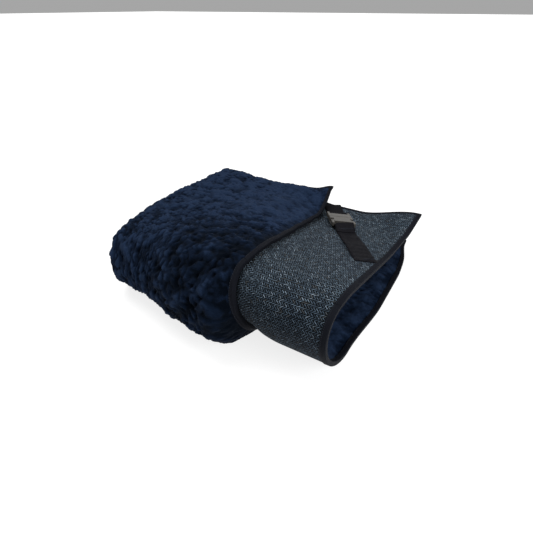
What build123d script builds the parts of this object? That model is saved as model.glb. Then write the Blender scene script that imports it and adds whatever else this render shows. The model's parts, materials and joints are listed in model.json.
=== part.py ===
"""Heated far-infrared blanket, folded once along its length with its left end turned back as a cuff.

Frame: +X along the front fold towards the open mouth, +Y towards the open back edges, +Z up.
The origin is on the floor, under the middle of the folded blanket. Millimetres.

The blanket is one quilted panel: woven face cloth, wadding, heating film and pile lining.
It lies folded in two about the front fold, woven face out and pile inside. Its left end is
turned back over the outside, pile out. Each layer is cut at the front fold, where it bends
when the upper half is lifted, so a layer is a lower piece, a fold piece and an upper piece.
"""

import os
from math import cos, radians, sin, sqrt, tan

from build123d import *

# ---------------------------------------------------------------- driving sizes
length_x = 496.0          # left end of the cuff to the mouth
depth_y = 490.0           # front of the cuff's fold to the back edges
loop_r = 70.0             # outer radius of the front fold at the mouth
cloth = 1.2               # woven face cloth
wadding = 2.5             # insulating wadding
film = 0.8                # space for the carbon-fibre heating film
pile = 7.5                # pile lining with its backing
layer_gap = 1.0           # air between the cuff and the panel inside it
binding_width = 9.0       # binding tape, seen from the face
binding_thick = 6.0       # bound edge, pressed thinner than the panel
cuff_edge_x = 105.0       # bound edge of the cuff at the front fold
ramp_end_x = 141.0        # where the lower panel has come down to the floor
cuff_slant = 55.0         # how far the cuff's edge runs to the left by the back edge
back_height = 50.0        # woven face above the floor at the back
crest_r = 200.0           # bend where the upper half leaves the front fold
hollow_r = 150.0          # bend where it levels out at the back
slope_deg = 16.7          # slope between the two bends
body_gap = 0.3            # clearance between pieces that move apart

strap_width = 38.0        # standard webbing
strap_thick = 1.6
strap_back_x = 52.0       # strap's centre line, drawn out to the back edge
strap_front_x = 232.0     # and where its end is caught at the mouth
strap_front_y = -45.0
strap_start = 46.0        # sewn start of the strap, just in front of the cuff's corner

buckle_from_edge = 109.0  # buckle's centre from the back edge, along the strap
buckle_width = 50.0
buckle_thick = 9.4

# ---------------------------------------------------------------- derived places
panel = cloth + wadding + film + pile
stack = panel + layer_gap                   # depth of the inner panel's face inside the cuff
left_x = -length_x / 2
mouth_x = length_x / 2
layers_x = mouth_x - binding_width          # layers stop where the mouth binding starts
turn_x = left_x + panel + layer_gap / 2     # centre of the turned-back left end
cuff_layers_x = cuff_edge_x - binding_width

cuff_r = loop_r + stack / 2                 # outer radius of the cuff's fold
fold_y = -depth_y / 2 + cuff_r
back_y = depth_y / 2
layers_y = back_y - binding_width
loop_axis = Axis((0, fold_y, cuff_r), (-1, 0, 0))

film_top = cloth + wadding                  # film's place in the panel, from the woven face
film_margin = 20.0

slope = radians(slope_deg)
crest_height = 2 * loop_r
slope_run = (crest_height - back_height - (crest_r + hollow_r) * (1 - cos(slope))) / sin(slope)

# Upper half: four stretches, each starting at a plane whose Y points into the panel.
start_y = fold_y + body_gap
crest_c = (start_y, crest_height - crest_r)
slope_start = (crest_c[0] + crest_r * sin(slope), crest_c[1] + crest_r * cos(slope))
slope_end = (slope_start[0] + slope_run * cos(slope), slope_start[1] - slope_run * sin(slope))
hollow_c = (slope_end[0] + hollow_r * sin(slope), slope_end[1] + hollow_r * cos(slope))
level_y = hollow_c[0]


def upper_plane(y, z, angle):
    """Plane across the upper half at a point of its woven face, Y into the panel."""
    lift = stack
    origin = (0, y + lift * sin(angle), z + lift * cos(angle))
    return Plane(origin=origin, x_dir=(1, 0, 0), z_dir=(0, cos(angle), -sin(angle)))


crest_plane = upper_plane(start_y, crest_height, 0)
slope_plane = upper_plane(*slope_start, slope)
hollow_plane = upper_plane(*slope_end, slope)
level_plane = upper_plane(level_y, back_height, 0)
crest_axis = Axis((0, crest_c[0], crest_c[1]), (-1, 0, 0))
hollow_axis = Axis((0, hollow_c[0], hollow_c[1]), (1, 0, 0))


# ---------------------------------------------------------------- outlines across the layers
# Outlines are drawn in the plane across the panel: X as in the frame, and depth inwards
# from the cuff's pile face. A layer is named by how far it lies behind the woven face.
def wrapped_outline(near, far, inner_end, cuff_end, ramp):
    """A layer of the inner panel that turns round the left end into the cuff."""
    with BuildSketch() as outline:
        with BuildLine():
            for behind in (near, far):
                if ramp:
                    Polyline(
                        (inner_end, behind),
                        (ramp_end_x, behind),
                        (cuff_edge_x, stack + behind),
                        (turn_x, stack + behind),
                    )
                else:
                    Line((inner_end, stack + behind), (turn_x, stack + behind))
                turn_r = behind + layer_gap / 2
                ThreePointArc(
                    (turn_x, stack + behind),
                    (turn_x - turn_r, panel + layer_gap / 2),
                    (turn_x, panel - behind),
                )
                Line((turn_x, panel - behind), (cuff_end, panel - behind))
            Line((cuff_end, panel - near), (cuff_end, panel - far))
            floor = 0 if ramp else stack
            Line((inner_end, floor + near), (inner_end, floor + far))
        make_face()
    return outline.sketch


def inner_outline(near, far, from_x, to_x, ramp):
    """A strip of the inner panel only, between two places along the fold."""
    with BuildSketch() as outline:
        with BuildLine():
            if ramp:
                Polyline(
                    (from_x, stack + near),
                    (cuff_edge_x, stack + near),
                    (ramp_end_x, near),
                    (to_x, near),
                    (to_x, far),
                    (ramp_end_x, far),
                    (cuff_edge_x, stack + far),
                    (from_x, stack + far),
                    close=True,
                )
            else:
                Polyline(
                    (from_x, stack + near),
                    (to_x, stack + near),
                    (to_x, stack + far),
                    (from_x, stack + far),
                    close=True,
                )
        make_face()
    return outline.sketch


def block_outline(from_x, to_x, from_depth, to_depth):
    """A plain rectangle, by its places along the fold and its depths."""
    with BuildSketch() as outline:
        with BuildLine():
            Polyline(
                (from_x, from_depth),
                (to_x, from_depth),
                (to_x, to_depth),
                (from_x, to_depth),
                close=True,
            )
        make_face()
    return outline.sketch


# ---------------------------------------------------------------- the three ways to make a layer
def lower_piece(outline, from_y, to_y):
    """Flat layer of the lower half, from one depth of the blanket to another."""
    with BuildPart() as piece:
        with BuildSketch(Plane.XZ.offset(-to_y)):
            add(outline)
        extrude(amount=to_y - from_y)
    return piece.part


def upper_piece(outline, to_y=layers_y):
    """The same layer of the upper half: over the crest, down the slope and level to the back."""
    with BuildPart() as piece:
        with BuildSketch(crest_plane):
            add(outline)
        revolve(axis=crest_axis, revolution_arc=slope_deg)
        with BuildSketch(slope_plane):
            add(outline)
        extrude(amount=slope_run)
        with BuildSketch(hollow_plane):
            add(outline)
        revolve(axis=hollow_axis, revolution_arc=slope_deg)
        with BuildSketch(level_plane):
            add(outline)
        extrude(amount=to_y - level_y)
    return piece.part


def half_ring(x, centre_z, outer_r, inner_r):
    """Half ring across the front fold, open towards +Y."""
    with BuildSketch(Plane.YZ.offset(x)) as ring:
        with BuildLine():
            ThreePointArc(
                (fold_y, centre_z - outer_r),
                (fold_y - outer_r, centre_z),
                (fold_y, centre_z + outer_r),
            )
            Line((fold_y, centre_z + outer_r), (fold_y, centre_z + inner_r))
            ThreePointArc(
                (fold_y, centre_z + inner_r),
                (fold_y - inner_r, centre_z),
                (fold_y, centre_z - inner_r),
            )
            Line((fold_y, centre_z - inner_r), (fold_y, centre_z - outer_r))
        make_face()
    return ring.sketch


def fold_piece(near, far):
    """A layer round the front fold: the cuff with the panel inside it, then the open mouth."""
    inner_r = cuff_r - stack
    with BuildPart() as piece:
        with BuildSketch(Plane.XZ.offset(-fold_y)):
            add(wrapped_outline(near, far, cuff_edge_x, cuff_layers_x, ramp=False))
        revolve(axis=loop_axis, revolution_arc=180)
        cuff_ring = half_ring(cuff_edge_x, cuff_r, inner_r - near, inner_r - far)
        mouth_ring = half_ring(ramp_end_x, loop_r, loop_r - near, loop_r - far)
        loft(sections=[cuff_ring, mouth_ring])
        extrude(to_extrude=mouth_ring, amount=layers_x - ramp_end_x)
    return piece.part


def bar_in_plan(points, height=260.0):
    """Upright prism over an outline seen from above."""
    with BuildPart() as prism:
        with BuildSketch(Plane.XY):
            with BuildLine():
                Polyline(*points, close=True)
            make_face()
        extrude(amount=height)
    return prism.part


def save(piece, name):
    """Names the piece and writes its file."""
    piece.label = name
    export_step(piece, f"parts/{name}.step")


os.makedirs("parts", exist_ok=True)

# ================================================================ fittings inside the panels
# Inlet socket: let into the lower panel's back edge, where the supply lead plugs in.
inlet_x = 190.0
inlet_width = 34.0
inlet_deep = 22.0
inlet_height = 13.0
inlet_bore_r = 4.0
inlet_bore_deep = 12.0
inlet_lift = 0.3
inlet_z = inlet_lift + inlet_height / 2

with BuildPart() as inlet_socket:
    with BuildSketch(Plane.XZ.offset(-back_y)):
        with Locations((inlet_x, inlet_z)):
            RectangleRounded(inlet_width, inlet_height, 3.0)
    extrude(amount=inlet_deep)
    fillet(inlet_socket.faces().sort_by(Axis.Y)[-1].edges(), radius=1.2)
    with Locations(Plane((inlet_x, back_y, inlet_z), x_dir=(1, 0, 0), z_dir=(0, 1, 0))):
        CounterBoreHole(
            radius=inlet_bore_r,
            counter_bore_radius=inlet_bore_r + 1.0,
            counter_bore_depth=1.5,
            depth=inlet_bore_deep,
        )
save(inlet_socket.part, "inlet_socket")

with BuildPart() as inlet_pocket:
    pocket_clear = 0.2
    with BuildSketch(Plane.XZ.offset(-back_y - 1)):
        with Locations((inlet_x, inlet_z)):
            Rectangle(inlet_width + 2 * pocket_clear, inlet_height + 2 * inlet_lift + 2)
    extrude(amount=inlet_deep + 1 + pocket_clear)

# Bimetal cutout and temperature sensor, each in its own pocket in the lower wadding.
cutout_x = 40.0
cutout_y = 60.0
sensor_x = -70.0
fitting_z = stack + cloth + 0.1
fitting_thick = wadding - 0.2
with BuildPart() as thermal_cutout:
    with BuildSketch(Plane.XY.offset(fitting_z)):
        with Locations((cutout_x, cutout_y)):
            SlotOverall(26.0, 9.0)
    extrude(amount=fitting_thick)
save(thermal_cutout.part, "thermal_cutout")

with BuildPart() as temperature_sensor:
    with BuildSketch(Plane.XY.offset(fitting_z)):
        with Locations((sensor_x, cutout_y)):
            Circle(4.0)
        with Locations((sensor_x + 8, cutout_y)):
            Rectangle(12.0, 3.0)
    extrude(amount=fitting_thick)
save(temperature_sensor.part, "temperature_sensor")

with BuildPart() as fitting_pockets:
    with BuildSketch(Plane.XY.offset(stack + cloth)):
        with Locations((cutout_x, cutout_y)):
            SlotOverall(27.0, 10.0)
        with Locations((sensor_x + 4, cutout_y)):
            Rectangle(26.0, 10.0)
    extrude(amount=wadding)

# ================================================================ lower half
layer_depths = {
    "face_cloth": (0.0, cloth),
    "wadding": (cloth, cloth + wadding),
    "pile_lining": (film_top + film, panel),
}
for layer, (near, far) in layer_depths.items():
    outline = wrapped_outline(near, far, layers_x, cuff_layers_x, ramp=True)
    with BuildPart() as lower_layer:
        add(lower_piece(outline, fold_y, layers_y))
        add(inlet_pocket.part, mode=Mode.SUBTRACT)
        if layer == "wadding":
            add(fitting_pockets.part, mode=Mode.SUBTRACT)
    save(lower_layer.part, f"lower_{layer}")

film_left_x = left_x + 2 * film_margin
film_right_x = layers_x - film_margin / 2
film_from_y = fold_y + film_margin
film_to_y = layers_y - 2 * film_margin
film_outline = inner_outline(film_top, film_top + film, film_left_x, film_right_x, ramp=True)
save(lower_piece(film_outline, film_from_y, film_to_y), "lower_heating_film")

cuff_film_depth = panel - film_top - film
cuff_film = block_outline(film_left_x, cuff_layers_x - film_margin, cuff_film_depth, cuff_film_depth + film)
save(lower_piece(cuff_film, film_from_y, film_to_y), "cuff_lower_heating_film")

# Flat lead from the inlet to the lower film, in the film's own space.
lead_width = 12.0
with BuildPart() as inlet_lead:
    with BuildSketch(Plane.XY.offset(film_top + 0.1)):
        with Locations((inlet_x, (film_to_y + back_y - inlet_deep - pocket_clear) / 2)):
            Rectangle(lead_width, back_y - inlet_deep - pocket_clear - film_to_y - 0.4)
    extrude(amount=film - 0.2)
save(inlet_lead.part, "inlet_lead")

bound = wrapped_outline(0, binding_thick, layers_x, cuff_layers_x, ramp=True)
with BuildPart() as lower_back_binding:
    add(lower_piece(bound, layers_y, back_y))
    add(inlet_pocket.part, mode=Mode.SUBTRACT)
save(lower_back_binding.part, "lower_back_binding")
save(
    lower_piece(block_outline(layers_x, mouth_x, 0, binding_thick), fold_y, back_y),
    "lower_mouth_binding",
)
save(
    lower_piece(
        block_outline(cuff_layers_x, cuff_edge_x, panel - binding_thick, panel), fold_y, back_y
    ),
    "cuff_lower_edge_binding",
)

# ================================================================ front fold
for layer, (near, far) in layer_depths.items():
    save(fold_piece(near, far), f"fold_{layer}")

# Flat lead that joins the two films across the fold.
with BuildPart() as fold_lead:
    lead_r = loop_r - film_top - 0.1
    lead_ring = half_ring(inlet_x, loop_r, lead_r, lead_r - film + 0.2)
    extrude(to_extrude=lead_ring, amount=lead_width)
save(fold_lead.part, "fold_lead")

with BuildPart() as fold_mouth_binding:
    extrude(
        to_extrude=half_ring(layers_x, loop_r, loop_r, loop_r - binding_thick),
        amount=binding_width,
    )
save(fold_mouth_binding.part, "fold_mouth_binding")

with BuildPart() as fold_cuff_binding:
    cuff_face_r = cuff_r - panel
    extrude(
        to_extrude=half_ring(cuff_layers_x, cuff_r, cuff_face_r + binding_thick, cuff_face_r),
        amount=binding_width,
    )
save(fold_cuff_binding.part, "fold_cuff_edge_binding")

# ================================================================ upper half
# The cuff's edge runs back at a slant, so the layers outside it are cut along that line.
edge_dx = -cuff_slant * (back_y + 20 - fold_y) / (back_y - fold_y)
edge_front = (cuff_edge_x, fold_y)
edge_back = (cuff_edge_x + edge_dx, back_y + 20)
edge_strip = bar_in_plan(
    [
        (edge_front[0] - binding_width, edge_front[1]),
        edge_front,
        edge_back,
        (edge_back[0] - binding_width, edge_back[1]),
    ]
)
right_of_layers = bar_in_plan(
    [
        (edge_front[0] - binding_width, edge_front[1]),
        (edge_front[0] + 10, edge_front[1]),
        (edge_front[0] + 10, edge_back[1]),
        (edge_back[0] - binding_width, edge_back[1]),
    ]
)
with BuildPart() as beyond_cuff:
    add(upper_piece(block_outline(20, cuff_edge_x + 5, -10, panel + layer_gap / 2), to_y=back_y + 10))
    add(right_of_layers, mode=Mode.INTERSECT)

for layer, (near, far) in layer_depths.items():
    outline = wrapped_outline(near, far, layers_x, cuff_layers_x, ramp=False)
    with BuildPart() as upper_layer:
        add(upper_piece(outline))
        add(beyond_cuff.part, mode=Mode.SUBTRACT)
    save(upper_layer.part, f"upper_{layer}")

film_range = bar_in_plan(
    [
        (left_x, film_from_y),
        (mouth_x, film_from_y),
        (mouth_x, film_to_y),
        (left_x, film_to_y),
    ]
)
upper_film_outline = inner_outline(film_top, film_top + film, film_left_x, film_right_x, ramp=False)
cuff_upper_film = block_outline(
    film_left_x, cuff_edge_x - cuff_slant - 2 * film_margin, cuff_film_depth, cuff_film_depth + film
)
film_outlines = {
    "upper_heating_film": upper_film_outline,
    "cuff_upper_heating_film": cuff_upper_film,
}
for name, outline in film_outlines.items():
    with BuildPart() as upper_film:
        add(upper_piece(outline))
        add(film_range, mode=Mode.INTERSECT)
    save(upper_film.part, name)

with BuildPart() as upper_back_binding:
    bound = wrapped_outline(0, binding_thick, layers_x, cuff_layers_x, ramp=False)
    with BuildSketch(level_plane.offset(layers_y - level_y)):
        add(bound)
    extrude(amount=binding_width)
    add(beyond_cuff.part, mode=Mode.SUBTRACT)
save(upper_back_binding.part, "upper_back_binding")

mouth_band = block_outline(layers_x, mouth_x, stack, stack + binding_thick)
save(upper_piece(mouth_band, to_y=back_y), "upper_mouth_binding")

with BuildPart() as cuff_upper_edge_binding:
    add(upper_piece(block_outline(20, cuff_edge_x + 5, panel - binding_thick, panel), to_y=back_y))
    add(edge_strip, mode=Mode.INTERSECT)
save(cuff_upper_edge_binding.part, "cuff_upper_edge_binding")

# ================================================================ strap and buckle
# The buckle bridges the hollow in the woven face, beside the cuff's free corner. Its back end
# rests on the level part and its front on the slope, which the socket clears when drawn out.
strap_run = Vector(strap_front_x - strap_back_x, strap_front_y - back_y, 0)
along = strap_run.normalized()
across = Vector(-along.Y, along.X, 0)
strap_origin = Vector(strap_back_x, back_y, 0)

lean = radians(11.4)
rest_back_y = 194.0                      # where the buckle's back edge touches the woven face
buckle_lift = 0.7
buckle_xy = strap_origin + along * buckle_from_edge
buckle_z = back_height + tan(lean) * (rest_back_y - buckle_xy.Y) + buckle_lift
pull = Vector(along.X, along.Y, -along.Y * tan(lean)).normalized()
buckle_plane = Plane(
    origin=(buckle_xy.X, buckle_xy.Y, buckle_z),
    x_dir=pull,
    z_dir=(0, sin(lean), cos(lean)),
)


def plan_strip(start, end, width):
    """Outline from above of a straight strip along the strap, by distances from the back edge."""
    half = across * (width / 2)
    near_end = strap_origin + along * start
    far_end = strap_origin + along * end
    corners = (near_end - half, near_end + half, far_end + half, far_end - half)
    return [(corner.X, corner.Y) for corner in corners]


def webbing_on_face(start, end, width, bottom, thick):
    """Band that lies on the woven face, along the strap's line."""
    band = block_outline(0, mouth_x - 1, stack - bottom - thick, stack - bottom)
    with BuildPart() as webbing:
        add(upper_piece(band, to_y=back_y - 1))
        add(bar_in_plan(plan_strip(start, end, width)), mode=Mode.INTERSECT)
    return webbing.part


# Buckle latch half, in the buckle's plane: X along the pull, Y across, Z off the cloth.
bar_lift = 2.0
bar_thick = 4.2
bar_width = 5.0
latch_end = -38.0
slot_width = 7.0
socket_slot_width = 5.0
slot_length = 40.0
slot_corner_r = 0.8
joint_x = -5.0                           # where the two halves meet
latch_bottom = 0.9
tongue_width = 8.0
tongue_thick = 4.6
cavity_bottom = 2.3
cavity_height = 5.6
prong_z = cavity_bottom + 0.4
prong_thick = cavity_height - 0.8
prong_root_y = 15.5
prong_half = 2.4

with BuildPart() as buckle_latch:
    plate_length = joint_x - latch_end
    with BuildSketch(buckle_plane.offset(latch_bottom)):
        with Locations(((joint_x + latch_end) / 2, 0)):
            RectangleRounded(plate_length, buckle_width, 4.0)
    extrude(amount=buckle_thick - latch_bottom)
    fillet(
        buckle_latch.faces().group_by(buckle_plane.location.z_axis)[-1].edges(), radius=1.6
    )
    # webbing slot, then the bar left standing between it and the end
    with BuildSketch(buckle_plane):
        with Locations((latch_end + bar_width + slot_width / 2, 0)):
            RectangleRounded(slot_width, slot_length, slot_corner_r)
    extrude(amount=2 * buckle_thick, mode=Mode.SUBTRACT)
    with BuildSketch(buckle_plane.offset(bar_lift + bar_thick)):
        with Locations((latch_end - 2, 0)):
            Rectangle(2 * bar_width + 4, slot_length)
    extrude(amount=buckle_thick, mode=Mode.SUBTRACT)
    with BuildSketch(buckle_plane.offset(bar_lift)):
        with Locations((latch_end - 2, 0)):
            Rectangle(2 * bar_width + 4, slot_length)
    extrude(amount=-bar_lift - 2, mode=Mode.SUBTRACT)
    # middle tongue that guides the halves together
    with BuildSketch(buckle_plane.offset(cavity_bottom + (cavity_height - tongue_thick) / 2)):
        with BuildLine():
            tongue_tip = 20.0
            Polyline(
                (joint_x - 1, -tongue_width / 2),
                (tongue_tip - 4, -tongue_width / 2),
                (tongue_tip, -tongue_width / 4),
                (tongue_tip, tongue_width / 4),
                (tongue_tip - 4, tongue_width / 2),
                (joint_x - 1, tongue_width / 2),
                close=True,
            )
        make_face()
    extrude(amount=tongue_thick)
    # round seats for the prongs' roots
    for side in (-1, 1):
        with BuildSketch(buckle_plane.offset(prong_z - 0.2)):
            with Locations((joint_x - 1.5, side * prong_root_y)):
                Circle(prong_half + 0.15)
            with Locations((joint_x + 1.0, side * prong_root_y)):
                Rectangle(5.0, 2 * prong_half + 1.6)
        extrude(amount=prong_thick + 0.4, mode=Mode.SUBTRACT)
save(buckle_latch.part, "buckle_latch_frame")

# Prongs: a springy leg from a round root, with a barb that snaps into the socket's side window.
barb_from = 9.0
barb_to = 16.5
barb_y = 21.6
prong_tip = 23.0
for side, name in ((1, "buckle_prong_left"), (-1, "buckle_prong_right")):
    with BuildPart() as prong:
        root = (joint_x - 1.5, side * prong_root_y)
        with BuildSketch(buckle_plane.offset(prong_z)):
            with Locations(root):
                Circle(prong_half)
            with BuildLine():
                Polyline(
                    (root[0], side * (prong_root_y - 1.8)),
                    (barb_from + 3, side * (prong_root_y - 3.2)),
                    (prong_tip, side * (prong_root_y - 3.2)),
                    (prong_tip + 1, side * (prong_root_y + 1.0)),
                    (barb_to, side * barb_y),
                    (barb_from + 1, side * barb_y),
                    (barb_from, side * (prong_root_y + 2.6)),
                    (root[0], side * (prong_root_y + 1.8)),
                    close=True,
                )
            make_face()
        extrude(amount=prong_thick)
    save(prong.part, name)

# Socket half: flat shell, open at the latch's side, with a window in each side wall.
socket_end = 38.0
socket_x = joint_x + 0.3
window_from = 8.0
window_to = 20.5
cavity_end = 26.5
with BuildPart() as buckle_socket:
    with BuildSketch(buckle_plane.offset(latch_bottom)):
        with Locations(((socket_x + socket_end) / 2, 0)):
            RectangleRounded(socket_end - socket_x, buckle_width, 4.0)
    extrude(amount=buckle_thick - latch_bottom)
    fillet(
        buckle_socket.faces().group_by(buckle_plane.location.z_axis)[-1].edges(), radius=1.6
    )
    with BuildSketch(buckle_plane.offset(cavity_bottom)):
        with BuildLine():
            mouth_half = buckle_width / 2 - 4.0
            throat_half = 19.6
            Polyline(
                (socket_x - 1, -mouth_half),
                (socket_x + 3, -throat_half),
                (cavity_end, -throat_half),
                (cavity_end, throat_half),
                (socket_x + 3, throat_half),
                (socket_x - 1, mouth_half),
                close=True,
            )
        make_face()
    extrude(amount=cavity_height, mode=Mode.SUBTRACT)
    with BuildSketch(buckle_plane.offset(cavity_bottom - 0.3)):
        with Locations(((window_from + window_to) / 2, 0)):
            Rectangle(window_to - window_from, buckle_width + 4)
    extrude(amount=buckle_thick, mode=Mode.SUBTRACT)
    with BuildSketch(buckle_plane.offset(latch_bottom)):
        with Locations(((window_from + window_to) / 2, 0)):
            RectangleRounded(window_to - window_from + 4, buckle_width - 15, 3.0)
    extrude(amount=cavity_bottom - latch_bottom)
    with BuildSketch(buckle_plane.offset(cavity_bottom + cavity_height)):
        with Locations(((window_from + window_to) / 2, 0)):
            Rectangle(window_to - window_from + 2, buckle_width - 15)
    extrude(amount=buckle_thick - cavity_bottom - cavity_height)
    # webbing slot and bar at the far end
    with BuildSketch(buckle_plane):
        with Locations((socket_end - bar_width - socket_slot_width / 2, 0)):
            RectangleRounded(socket_slot_width, slot_length, slot_corner_r)
    extrude(amount=2 * buckle_thick, mode=Mode.SUBTRACT)
    for cut_from, cut_by in ((bar_lift + bar_thick, buckle_thick), (bar_lift, -bar_lift - 2)):
        with BuildSketch(buckle_plane.offset(cut_from)):
            with Locations((socket_end + 2, 0)):
                Rectangle(2 * bar_width + 4, slot_length)
        extrude(amount=cut_by, mode=Mode.SUBTRACT)
save(buckle_socket.part, "buckle_socket")


def webbing_loop(bar_from, bar_to, tail_to):
    """Webbing passed round a buckle bar and sewn back on itself, seen along the bar."""
    clear = 0.4
    bar_top = bar_lift + bar_thick
    loop_from = bar_from - clear - strap_thick
    loop_to = bar_to + clear + strap_thick
    loop_height = bar_top + clear + strap_thick
    side_plane = Plane(
        origin=buckle_plane.origin + buckle_plane.y_dir * (strap_width / 2),
        x_dir=buckle_plane.x_dir,
        z_dir=-buckle_plane.y_dir,
    )
    with BuildPart() as loop:
        with BuildSketch(side_plane):
            with Locations(((loop_from + loop_to) / 2, loop_height / 2)):
                RectangleRounded(loop_to - loop_from, loop_height, 1.9)
                RectangleRounded(
                    loop_to - loop_from - 2 * strap_thick,
                    loop_height - 2 * strap_thick,
                    0.4,
                    mode=Mode.SUBTRACT,
                )
            with Locations(((bar_to + tail_to) / 2, strap_thick / 2)):
                Rectangle(abs(tail_to - bar_to), strap_thick)
        extrude(amount=strap_width)
    return loop.part


with BuildPart() as short_strap:
    add(webbing_on_face(strap_start, buckle_from_edge - 32, strap_width, body_gap, strap_thick))
    add(webbing_loop(latch_end, latch_end + bar_width, latch_end + bar_width - 1))
save(short_strap.part, "short_strap")

strap_end = strap_run.length - 2
leg_end = 70.0                           # where the strap comes down to the slope
with BuildPart() as long_strap:
    add(webbing_on_face(leg_end + buckle_from_edge - 8, strap_end, strap_width, body_gap, strap_thick))
    add(webbing_loop(socket_end - bar_width, socket_end, leg_end))
save(long_strap.part, "long_strap")

# Sewn rows across the webbing: at its start, by the buckle, and at the end caught at the mouth.
bartack_width = 30.0
bartack_thick = 0.5
bartack_lift = body_gap + strap_thick
save(
    webbing_on_face(strap_start + 4, strap_start + 7, bartack_width, bartack_lift, bartack_thick),
    "short_strap_bartack",
)
with BuildPart() as long_strap_bartacks:
    add(webbing_on_face(strap_end - 12, strap_end - 9, bartack_width, bartack_lift, bartack_thick))
    with BuildSketch(buckle_plane.offset(strap_thick)):
        with Locations((socket_end + 12, 0)):
            Rectangle(3.0, bartack_width)
    extrude(amount=bartack_thick)
save(long_strap_bartacks.part, "long_strap_bartacks")
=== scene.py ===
"""Looks of the folded heated blanket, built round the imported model.

Every layer of the blanket is one surface that is laid out twice over: once along the fold (from the
cuff's edge, round the turned left end, to the mouth) and once across it (lower half, front fold,
upper half). place() puts any point of any layer where it belongs, so layers, tapes and webbing all
share one shape. Metres, in the model's own frame.
"""

import json
from math import pi, radians

import bpy
import numpy as np
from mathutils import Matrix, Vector


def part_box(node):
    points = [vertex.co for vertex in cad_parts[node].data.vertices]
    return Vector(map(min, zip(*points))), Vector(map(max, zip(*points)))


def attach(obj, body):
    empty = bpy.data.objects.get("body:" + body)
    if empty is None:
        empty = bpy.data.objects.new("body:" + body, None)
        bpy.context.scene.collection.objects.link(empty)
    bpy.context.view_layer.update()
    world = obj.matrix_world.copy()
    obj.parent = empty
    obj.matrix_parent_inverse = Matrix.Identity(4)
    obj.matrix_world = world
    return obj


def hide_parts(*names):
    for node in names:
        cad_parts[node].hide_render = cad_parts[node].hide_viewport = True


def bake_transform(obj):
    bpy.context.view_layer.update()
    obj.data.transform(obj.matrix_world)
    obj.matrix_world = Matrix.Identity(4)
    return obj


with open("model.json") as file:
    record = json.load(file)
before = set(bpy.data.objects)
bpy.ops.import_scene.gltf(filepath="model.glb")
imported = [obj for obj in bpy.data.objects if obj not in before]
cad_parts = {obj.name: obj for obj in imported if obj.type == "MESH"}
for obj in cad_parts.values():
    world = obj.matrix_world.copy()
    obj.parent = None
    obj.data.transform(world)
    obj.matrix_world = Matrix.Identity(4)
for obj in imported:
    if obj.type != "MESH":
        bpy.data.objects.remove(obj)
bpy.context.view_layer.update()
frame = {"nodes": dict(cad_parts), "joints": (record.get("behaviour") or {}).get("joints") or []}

# ---- sizes, from the frame
MM = 0.001
MOUTH_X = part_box("upper_mouth_binding")[1].x
BACK_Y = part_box("lower_back_binding")[1].y
CUFF_EDGE_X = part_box("cuff_lower_edge_binding")[1].x
BINDING = MOUTH_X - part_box("lower_mouth_binding")[0].x
LEFT_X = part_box("lower_back_binding")[0].x
FOLD_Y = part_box("lower_face_cloth")[0].y
TOP_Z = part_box("fold_mouth_binding")[1].z
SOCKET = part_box("inlet_socket")

CLOTH = 1.2 * MM  # layers of the panel, from the woven face inwards
WADDING = 2.5 * MM
FILM = 0.8 * MM
PILE = 7.5 * MM
PANEL = CLOTH + WADDING + FILM + PILE
GAP = 1.0 * MM  # air between the cuff and the panel inside it
STACK = PANEL + GAP
BOUND = 6.0 * MM  # thickness of a bound edge
RAMP_END_X = CUFF_EDGE_X + 36 * MM
CUFF_SLANT = 55 * MM
TURN_X = LEFT_X + PANEL + GAP / 2
CREST_R = 0.200  # radii of the bends at the top and foot of the slope
HOLLOW_R = 0.150
LEVEL_Y = FOLD_Y + 0.351  # where the upper half is level again
HALF_DEPTH = BACK_Y - FOLD_Y  # lower half, across the fold
UPPER_LONG = 0.43  # upper half, across the fold
INNER_TURN = 3.14  # points turned further than this lie on the inner panel
TURN_LONG = pi * 4 * MM  # bound edge round the turned end
FOLD_LONG = pi * 0.070  # bound edge round the fold
CUFF_LONG = CUFF_EDGE_X - TURN_X
INNER_LONG = MOUTH_X - TURN_X
LEAN = 0.5  # forward lean of the open mouth's fold, per height
LEAN_OUT = 0.036  # how far back the leaning fold starts, at floor height
FLOOR_CLEAR = 0.3 * MM


def ease(value, start, end):
    """0 before start, 1 after end, smooth between them."""
    t = np.clip((value - start) / (end - start), 0, 1)
    return t * t * (3 - 2 * t)


# ---- smooth noise
def noise(u, v, seed):
    """Gradient noise of two coordinates, about -1 to 1."""
    rng = np.random.default_rng(seed)
    turn = rng.random((256, 256)) * 2 * pi
    iu = np.floor(u).astype(int)
    iv = np.floor(v).astype(int)
    fu = u - iu
    fv = v - iv
    su = fu * fu * fu * (fu * (fu * 6 - 15) + 10)
    sv = fv * fv * fv * (fv * (fv * 6 - 15) + 10)
    corner = []
    for du in (0, 1):
        for dv in (0, 1):
            angle = turn[(iu + du) & 255, (iv + dv) & 255]
            corner.append(np.cos(angle) * (fu - du) + np.sin(angle) * (fv - dv))
    near = corner[0] * (1 - sv) + corner[1] * sv
    far = corner[2] * (1 - sv) + corner[3] * sv
    return (near * (1 - su) + far * su) * 1.45


def cells(u, v, seed):
    """Distances to the nearest and second nearest of scattered points, one to a unit square."""
    rng = np.random.default_rng(seed)
    jitter = rng.random((2, 256, 256))
    iu = np.floor(u).astype(int)
    iv = np.floor(v).astype(int)
    first = np.full(u.shape, 9.0)
    second = np.full(u.shape, 9.0)
    for du in (-1, 0, 1):
        for dv in (-1, 0, 1):
            cu = iu + du
            cv = iv + dv
            pu = cu + jitter[0, cu & 255, cv & 255]
            pv = cv + jitter[1, cu & 255, cv & 255]
            d = np.hypot(pu - u, pv - v)
            second = np.minimum(second, np.maximum(first, d))
            first = np.minimum(first, d)
    return first, second


# ---- the blanket's shape
def bell(distance, width):
    return np.exp(-((distance / width) ** 2))


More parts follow.
